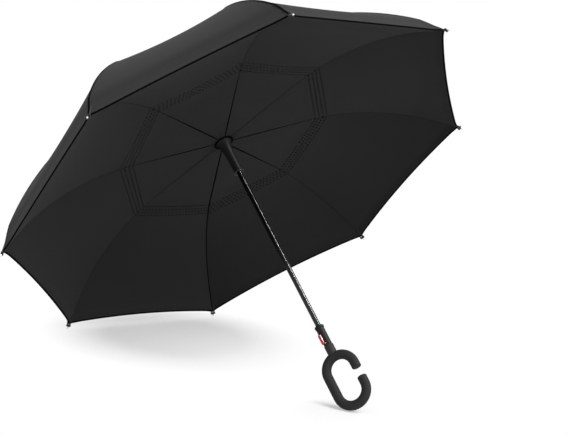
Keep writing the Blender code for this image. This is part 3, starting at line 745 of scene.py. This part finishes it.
def topPiece(rib):
    # the outer layer's middle, over a strut, with the gores' halves on both sides of it
    grid = GoreGrid()
    shoulderEdge = canopy["knuckleRadius"] - canopy["shoulder"]
    radii = [*canopy["crownInner"], canopy["crownClothEdge"], *canopy["crownOuter"]]
    radii += spread(canopy["topEvenFrom"], shoulderEdge, 14) + shoulderRows(-1)
    radii.append(canopy["knuckleRadius"] + canopy["topLap"])
    halfRow = spread(0.0, 1.0, 12)
    shares = [(-1, across) for across in reversed(halfRow[1:])] + [(1, across) for across in halfRow]
    for radius in radii:
        row = []
        for side, across in shares:
            cut = (side * across * radius * math.sin(halfStep), canopy["hemRadius"] - radius)
            row.append(grid.point(topPoint(rib, side, radius, across), cut))
        grid.addRow(row)
    piece = meshObject(f"canopy_top_{rib}", grid.bm, outsideCloth, 60)
    thicken(piece)
    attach(piece, f"strut_{rib}_body")
    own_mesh(piece)
    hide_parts(f"top_gore_{rib}")


seams = dict(
    insideWidth=0.0018,  # half of each seam's width
    outsideWidth=0.0027,
    insideEnd=0.28,  # share of that width left from slimFrom of the length on
    outsideEnd=1.0,
    slimFrom=0.55,
    tipGap=0.003,
    crownEnd=0.0155,
    softRibs=(1, 5),  # whose inside seams are paler: painted light, as these seams face the lamps and show none of the painted crease shade
    plainRibs=(8,),  # and that keep their width
    proud=0.0006,
    roundness=6,
)


def seamStrip(name, points, tangent, outward, material, width, endShare):
    # a narrow rounded ridge on the cloth, which slims to endShare of its width along points
    bm = bmesh.new()
    rows = []
    for i, (point, away) in enumerate(zip(points, outward)):
        size = 1 - (1 - endShare) * ease(i / (len(points) - 1) / seams["slimFrom"])
        line = []
        for angle in spread(0, math.pi, seams["roundness"]):
            offset = tangent * (width * size * math.cos(angle))
            offset += away * (seams["proud"] * size * math.sin(angle))
            line.append(bm.verts.new(point + offset))
        rows.append(line)
    joinRings(bm, rows)
    return meshObject(name, bm, material, 50)


def ribSeams(rib):
    azimuth = ribAzimuth(rib)
    tangent = Vector((-math.sin(azimuth), math.cos(azimuth), 0))
    skin = canopy["thickness"] / 2
    slim = (seams["insideWidth"], 1.0 if rib in seams["plainRibs"] else seams["insideEnd"])
    wide = (seams["outsideWidth"], seams["outsideEnd"])
    # seams that face the lamps take the paler tape: painted light
    innerTape = softSeamTape if rib in seams["softRibs"] else seamTape

    def seam(layer, heightAt, radii, facing, tape, sizes):
        # facing is 1 on the outside of the canopy and -1 on its inside
        points = [gorePoint(rib, 1, r, heightAt(r) + facing * skin, 0.0) for r in radii]
        away = []
        for i in range(len(points)):
            run = (points[min(i + 1, len(points) - 1)] - points[max(i - 1, 0)]).normalized()
            normal = run.cross(tangent)
            away.append(normal if normal.z * facing > 0 else -normal)
        return seamStrip(f"{layer}_seam_{rib}", points, tangent, away, tape, *sizes)

    tipEnd = canopy["hemRadius"] - seams["tipGap"]
    innerRadii = spread(canopy["hubRadius"] + 0.001, tipEnd, 44)
    inner = seam("inner", innerHeight, innerRadii, -1, innerTape, slim)
    outer = seam("outer", outerHeight, spread(canopy["knuckleRadius"], tipEnd, 26), 1, outerTape, wide)
    for piece in (inner, outer):
        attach(piece, f"main_rib_{rib}_body")
        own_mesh(piece)
    topRadii = spread(canopy["knuckleRadius"], seams["crownEnd"], 24)
    top = seam("top", topHeight, topRadii, 1, outerTape, wide)
    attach(top, f"strut_{rib}_body")


for rib in range(1, umbrella["ribs"] + 1):
    gorePiece(rib, 1)
    gorePiece(rib, -1)
    topPiece(rib)
    ribSeams(rib)
print("canopy made")


# rib tips

tipCap = dict(
    radius=0.0018,
    start=0.0034,  # past the rib's tip, along its slope
    end=0.0084,
    slope=math.radians(38),
    foot=0.0008,
    footShare=0.9,  # of the radius, at the cap's foot
)


def ribTip(rib):
    azimuth = ribAzimuth(rib)
    radial = Vector((math.cos(azimuth), math.sin(azimuth), 0))
    along = radial * math.cos(tipCap["slope"]) - Vector((0, 0, math.sin(tipCap["slope"])))
    start = radial * umbrella["tipRadius"] + along * tipCap["start"]
    matrix = Matrix.Translation(start) @ along.to_track_quat("Z", "X").to_matrix().to_4x4()
    size, long = tipCap["radius"], tipCap["end"] - tipCap["start"]
    outline = [(0, long)]
    for angle in spread(0, math.pi / 2, 6)[1:]:
        outline.append((size * math.sin(angle), long - size * (1 - math.cos(angle))))
    outline += [(size, tipCap["foot"]), (size * tipCap["footShare"], 0), (0, 0)]
    piece = lathe(f"tip_cap_{rib}", outline, finishes["bright_metal"], 24, matrix)
    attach(piece, f"main_rib_{rib}_body")


for rib in range(1, umbrella["ribs"] + 1):
    ribTip(rib)
print("rib tips made")


# shaft, crown and runner

shaftSize = dict(top=0.2482, bottom=-0.4165, flutes=14, fluteDepth=0.00007, wall=0.0008)


def flutedShaft():
    bm = bmesh.new()
    steps = shaftSize["flutes"] * 6
    outer, top, bottom = umbrella["shaftRadius"], shaftSize["top"], shaftSize["bottom"]
    rows = []
    for height, inside in ((top, False), (bottom, False), (bottom, True), (top, True)):
        ring = []
        for i in range(steps):
            angle = 2 * math.pi * i / steps
            groove = shaftSize["fluteDepth"] * (0.5 - 0.5 * math.cos(angle * shaftSize["flutes"])) ** 2
            size = outer - (shaftSize["wall"] if inside else groove)
            ring.append(bm.verts.new((size * math.cos(angle), size * math.sin(angle), height)))
        rows.append(ring)
    joinRings(bm, rows, closed=True)
    piece = meshObject("fluted_shaft", bm, finishes["black_painted_steel"], 60)
    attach(piece, "frame")
    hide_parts("shaft")


crownSize = dict(
    rim=0.2464,
    top=0.2552,
    radius=0.0150,
    domeFoot=0.0020,
    edge=0.0006,
    bossRadius=0.0085,
    bossBottom=0.2455,
    boreRadius=0.0058,
    boreTop=0.2485,
)


def crownCap():
    # a domed cap with a boss and a blind bore for the shaft's end
    rim, top, radius, edge = (crownSize[name] for name in ("rim", "top", "radius", "edge"))
    boss, bore = crownSize["bossRadius"], crownSize["boreRadius"]
    foot = rim + crownSize["domeFoot"]
    outline = [(0, top)]
    for angle in spread(0, math.pi / 2, 12)[1:]:
        outline.append((radius * math.sin(angle), foot + (top - foot) * math.cos(angle)))
    outline += [(radius, rim + edge), (radius - edge, rim), (boss, rim), (boss, crownSize["bossBottom"])]
    outline += [(bore, crownSize["bossBottom"]), (bore, crownSize["boreTop"]), (0, crownSize["boreTop"])]
    piece = lathe("crown_button", outline, finishes["black_plastic"])
    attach(piece, "frame")
    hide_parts("crown_cap")


runnerSize = dict(
    top=0.1202,
    bore=0.0060,
    headRadius=0.0168,
    headRim=0.0016,
    headEdge=0.0004,
    headLength=0.0300,
    flareInset=0.0009,
    flareDrop=0.0005,
    neckRadius=0.0104,
    radius=0.0095,
    bottom=0.0426,
    bottomTaper=0.0093,
    bottomEdge=0.0005,
    ringTop=0.0423,
    ringBottom=0.0375,
    ringRadius=0.0112,
    ringEdge=0.0010,
    rimHeight=0.0007,
    rimWidth=0.0010,
    rimEdge=0.0003,
    rimInset=0.0001,
)


def runnerSleeve():
    size = runnerSize
    head, edge, top, bore = (size[name] for name in ("headRadius", "headEdge", "top", "bore"))
    rim, drop = top - size["headRim"], size["flareDrop"]
    flare = head - size["flareInset"] - size["neckRadius"]
    outline = [(head - edge, top), (head, top - edge), (head, rim + edge), (head - edge, rim)]
    for share in spread(0, 1, 14):
        level = rim - drop - (size["headLength"] - drop) * share
        outline.append((size["neckRadius"] + flare * (1 - share) ** 2, level))
    side, bottom, edge = size["radius"], size["bottom"], size["bottomEdge"]
    outline += [(side, bottom + size["bottomTaper"]), (side, bottom + edge), (side - edge, bottom)]
    outline += [(bore, bottom), (bore, top)]
    piece = lathe("sleeve", outline, finishes["sleeve_plastic"])
    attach(piece, "runner")
    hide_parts("runner_sleeve")


def runnerRing():
    # a black ring with a paler rim under it
    size = runnerSize
    wide, bore, top, bottom = (size[name] for name in ("ringRadius", "bore", "ringTop", "ringBottom"))
    seat = bottom + size["rimHeight"]
    black = roundedEdge(wide, top, size["ringEdge"]) + [(wide, seat), (bore, seat), (bore, top)]
    ring = lathe("sleeve_ring", black, finishes["sleeve_plastic"])
    side, lap, edge = wide - size["rimInset"], seat - size["rimInset"], size["rimEdge"]
    pale = [(side, lap), (side, bottom + edge), (side - edge, bottom)]
    pale += [(wide - size["rimWidth"], bottom), (wide - size["rimWidth"], lap)]
    rim = lathe("sleeve_rim", pale, finishes["satin_ring"])
    for piece in (ring, rim):
        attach(piece, "runner")
        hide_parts("runner_lip")


collar = dict(
    pleats=32,
    pleatWidth=0.0006,
    pleatDrop=0.0004,
    pleatReach=0.0063,
    neck=((0.0173, 0.1201),),  # radius and height of each point of its outline
    underside=((0.0180, 0.1195), (0.0194, 0.1193), (0.0208, 0.1197)),
    top=((0.0216, 0.1203), (0.0212, 0.1207), (0.0203, 0.1206), (0.0196, 0.1203), (0.0180, 0.1203)),
)


def runnerCollar():
    # the inner layer's gathered edge, drawn in between the runner's two parts
    steps = collar["pleats"] * 6
    bm = bmesh.new()
    rings = []
    for radius, height in collar["neck"] + collar["underside"] + collar["top"]:
        growth = (radius - collar["neck"][0][0]) / collar["pleatReach"]
        drop = collar["pleatDrop"] if (radius, height) in collar["underside"] else 0.0
        ring = []
        for i in range(steps):
            angle = 2 * math.pi * i / steps
            pleat = 0.5 + 0.5 * math.cos(angle * collar["pleats"])
            size = radius + collar["pleatWidth"] * pleat * growth
            level = height - drop * pleat
            ring.append(bm.verts.new((size * math.cos(angle), size * math.sin(angle), level)))
        rings.append(ring)
    joinRings(bm, rings, closed=True)
    # it takes the inside seams' dark colour: painted shade in its gathers
    piece = meshObject("gathered_collar", bm, seamTape, 50)
    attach(piece, "runner")


flutedShaft()
crownCap()
runnerSleeve()
runnerRing()
runnerCollar()
print("shaft, crown and runner made")


# housing, button and grip

handle = dict(
    housingTop=-0.3570,
    housingLength=0.0445,
    housingRadius=0.0086,
    buttonAzimuth=math.radians(168),
    buttonLength=0.0230,
    buttonWidth=0.0080,
    buttonFloor=0.0023,  # the key's inner face above the shaft
    buttonProud=0.0024,
    buttonEdge=0.0011,
    buttonCorner=0.85,  # share of the half width
    buttonCrown=((0.0001, 0.0009), (0.0002, 0.0020)),  # rise and inset of its outer face
    buttonDrop=0.0073,
    pinAzimuth=math.radians(200),
    pinHeight=-0.3980,
    pinSink=0.0003,
    pinOutline=((0, 0.0009), (0.0005, 0.00085), (0.0010, 0.0006), (0.0012, 0.0002), (0.0012, 0), (0, 0)),
    neckRadius=0.0097,
    neckEdge=0.0010,
    neckTaper=((0.0, 0.0010), (0.0002, -0.0030)),  # narrowing, and height from the grip's top
    neckEnd=0.0088,
    neckSink=0.0100,  # into the grip
    gripLength=0.1270,
    gripWidth=0.0803,
    gripRadius=0.0096,
    gripMouth=0.0199,
    gripCentre=-0.4825,
    gripAzimuth=math.radians(299.5),
    endRounding=0.0022,
)


def buttonCap():
    # a rounded key standing on the housing, its outer face crowned
    long, wide = handle["buttonLength"] / 2, handle["buttonWidth"] / 2
    base = umbrella["shaftRadius"] + gap + handle["buttonFloor"]
    face, edge = handle["housingRadius"] + handle["buttonProud"], handle["buttonEdge"]
    outline = []
    corner = wide * handle["buttonCorner"]
    for centreY, centreZ, start in (
        (wide - corner, long - corner, 0),
        (corner - wide, long - corner, 90),
        (corner - wide, corner - long, 180),
        (wide - corner, corner - long, 270),
    ):
        for turn in spread(start, start + 90, 6):
            angle = math.radians(turn)
            outline.append((centreY + corner * math.cos(angle), centreZ + corner * math.sin(angle)))
    levels = [(base, 0.0)]
    for angle in spread(0, math.pi / 2, 5):
        levels.append((face - edge + edge * math.sin(angle), edge * (1 - math.cos(angle))))
    levels += [(face + rise, edge + inset) for rise, inset in handle["buttonCrown"]]
    bm = bmesh.new()
    rings = []
    for depth, inset in levels:
        ring = []
        for y, z in outline:
            ring.append(bm.verts.new((depth, y * (1 - inset / wide), z * (1 - inset / long))))
        rings.append(ring)
    joinRings(bm, rings)
    middle = handle["housingTop"] - handle["housingLength"] / 2 - handle["buttonDrop"]
    matrix = Matrix.Translation((0, 0, middle)) @ Matrix.Rotation(handle["buttonAzimuth"], 4, "Z")
    bmesh.ops.transform(bm, matrix=matrix, verts=bm.verts)
    piece = meshObject("button_key", bm, finishes["red_button"], 50)
    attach(piece, "button")
    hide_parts("release_button")


def gripPath(steps=28):
    bend = handle["gripWidth"] / 2 - handle["gripRadius"]
    straight = handle["gripLength"] / 2 - handle["gripRadius"] - bend
    mouth = handle["gripMouth"] / 2
    points = [(bend, z) for z in spread(mouth, straight, 4)]
    for i in range(1, steps + 1):
        angle = math.pi * i / steps
        points.append((bend * math.cos(angle), straight + bend * math.sin(angle)))
    points += [(-bend, z) for z in spread(straight, -straight, 8)[1:]]
    for i in range(1, steps + 1):
        angle = math.pi + math.pi * i / steps
        points.append((bend * math.cos(angle), -straight + bend * math.sin(angle)))
    points += [(bend, z) for z in spread(-straight, -mouth, 4)[1:]]
    return points


def cGrip():
    turn = Matrix.Rotation(handle["gripAzimuth"], 3, "Z")
    path = [turn @ Vector((u, 0, handle["gripCentre"] + v)) for u, v in gripPath()]
    full, rounding = handle["gripRadius"], handle["endRounding"]

    def roundedEnd(end, inner):
        # from the end's flat face to the full tube
        inward = (inner - end).normalized() * rounding
        made = []
        for angle in spread(math.pi / 2, 0, 7):
            place = end + inward * (1 - math.sin(angle))
            made.append((place, full - rounding * (1 - math.cos(angle))))
        return made

    rings = roundedEnd(path[0], path[1]) + [(place, full) for place in path[1:-1]]
    rings += reversed(roundedEnd(path[-1], path[-2]))
    points, radii = zip(*rings)
    piece = sweep("c_grip", points, radii, finishes["soft_touch_grip"], 40)
    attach(piece, "frame")
    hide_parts("c_handle")


def gripNeck():
    top = handle["housingTop"] - handle["housingLength"] - gap
    arch = handle["gripCentre"] + handle["gripLength"] / 2
    radius, bore = handle["neckRadius"], umbrella["shaftRadius"] + gap
    sunk = arch - handle["neckSink"]
    outline = [(bore, top), *roundedEdge(radius, top, handle["neckEdge"])]
    outline += [(radius - narrowing, arch + height) for narrowing, height in handle["neckTaper"]]
    outline += [(handle["neckEnd"], sunk), (bore, sunk)]
    neck = lathe("grip_neck", outline, finishes["satin_neck"])
    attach(neck, "frame")


def housingPin():
    # the small pale pin head under the button
    azimuth = handle["pinAzimuth"]
    radial = Vector((math.cos(azimuth), math.sin(azimuth), 0))
    place = radial * (handle["housingRadius"] - handle["pinSink"])
    place.z = handle["pinHeight"]
    matrix = Matrix.Translation(place) @ radial.to_track_quat("Z", "X").to_matrix().to_4x4()
    piece = lathe("housing_pin", handle["pinOutline"], finishes["bright_metal"], 20, matrix)
    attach(piece, "frame")


buttonCap()
cGrip()
gripNeck()
housingPin()
print("housing, button and grip made")


# finishes of the nodes that stay

nodeFinish = {
    "crown": "black_plastic",
    "crown_wire": "bright_metal",
    "runner_hub": "black_plastic",
    "runner_wire": "bright_metal",
    "button_housing": "black_plastic",
    "button_spring": "bright_metal",
}
for rib in range(1, umbrella["ribs"] + 1):
    nodeFinish[f"main_rib_{rib}"] = "dark_glass_fibre"
    nodeFinish[f"bow_rib_{rib}"] = "dark_glass_fibre"
    nodeFinish[f"strut_{rib}"] = "black_painted_steel"
for name, finish in nodeFinish.items():
    node = frame["nodes"][name]
    node.data.materials.clear()
    node.data.materials.append(finishes[finish])
print("carried nodes finished")


# floor, light and camera

studio = dict(
    floorSize=14.0,
    floorShade=0.93,
    floorDrop=0.0002,  # below the part
    shadows=(  # centre, reach and share, beside the rib tips and the grip that the umbrella lies on
        ((0.0, 0.22, 0.0), (0.15, 0.15, 1.0), 0.62),
        ((-0.035, -0.365, 0.0), (0.055, 0.045, 1.0), 0.60),
    ),
    ambient=0.60,
    lamps={  # strength; softness, height and turn to the right of straight in front in degrees
        "key": (2.0, 30, 55, 32),
        "fill": (0.7, 24, 31, 26),
        "gleam": (2.6, 5, 67, 42),
    },
    cameraPlace=(-1.8099, -2.1662, 0.7548),
    cameraTurn=(81.185, -5.857, -40.386),
    lens=86.246,
)


def seenRays(wire):
    # 1 for rays from the camera, straight or by way of gloss or glass, and 0 for light on matte faces
    rays = wire.node("ShaderNodeLightPath")
    return (rays + rays.other("Is Glossy Ray") + rays.other("Is Transmission Ray")).clamped()


def studioFloor():
    bm = bmesh.new()
    half, level = studio["floorSize"] / 2, -studio["floorDrop"]
    corners = ((-half, -half), (half, -half), (half, half), (-half, half))
    bm.faces.new([bm.verts.new((x, y, level)) for x, y in corners])
    mesh = bpy.data.meshes.new("floor")
    bm.to_mesh(mesh)
    bm.free()
    floor = bpy.data.objects.new("floor", mesh)
    bpy.context.scene.collection.objects.link(floor)
    material = bpy.data.materials.new("pale_floor")
    material.use_nodes = True
    material.node_tree.nodes.clear()
    wire = Wire(material.node_tree)
    place = wire.node("ShaderNodeTexCoord", output=3)
    shaded = 0.0
    for spot, reach, share in studio["shadows"]:
        centre = wire.node("ShaderNodeVectorMath", {"operation": "SUBTRACT"}, {0: place, 1: spot})
        scaled = wire.node("ShaderNodeVectorMath", {"operation": "DIVIDE"}, {0: centre, 1: reach})
        away = wire.node("ShaderNodeVectorMath", {"operation": "LENGTH"}, {0: scaled}, output=1)
        shaded = (1 - (away - 1).clamped()) * share + shaded
    shade = studio["floorShade"]
    matte = wire.node("ShaderNodeBsdfDiffuse", {}, {"Color": (shade, shade, shade, 1)})
    white = wire.node("ShaderNodeEmission", {}, {"Color": (1, 1, 1, 1), "Strength": 1.0})
    mixed = wire.node("ShaderNodeMixShader", {}, {0: seenRays(wire) * (1 - shaded), 1: matte, 2: white})
    wire.node("ShaderNodeOutputMaterial", {}, {0: mixed})
    mesh.materials.append(material)


def studioLight():
    world = bpy.data.worlds.new("studio")
    bpy.context.scene.world = world
    world.use_nodes = True
    world.node_tree.nodes.clear()
    wire = Wire(world.node_tree)
    strength = seenRays(wire) * (1 - studio["ambient"]) + studio["ambient"]
    background = wire.node("ShaderNodeBackground", {}, {"Color": (1, 1, 1, 1), "Strength": strength})
    wire.node("ShaderNodeOutputWorld", {}, {0: background})
    for name, (power, softness, height, turn) in studio["lamps"].items():
        light = bpy.data.lights.new(name, "SUN")
        light.energy = power
        light.angle = math.radians(softness)
        lamp = bpy.data.objects.new(name, light)
        lamp.rotation_euler = (math.radians(90 - height), 0, math.radians(turn))
        bpy.context.scene.collection.objects.link(lamp)
        if name == "gleam":  # only draws the fine highlight along glossy parts
            light.use_shadow = False
            lamp.visible_diffuse = False


def studioCamera():
    camera = bpy.data.objects.new("camera", bpy.data.cameras.new("camera"))
    camera.data.sensor_width = 36
    camera.data.lens = studio["lens"]
    camera.data.clip_end = 50
    camera.location = studio["cameraPlace"]
    camera.rotation_euler = [math.radians(turn) for turn in studio["cameraTurn"]]
    bpy.context.scene.collection.objects.link(camera)
    bpy.context.scene.camera = camera


studioFloor()
studioLight()
studioCamera()
bpy.context.scene.view_settings.view_transform = "Standard"
print("studio made")
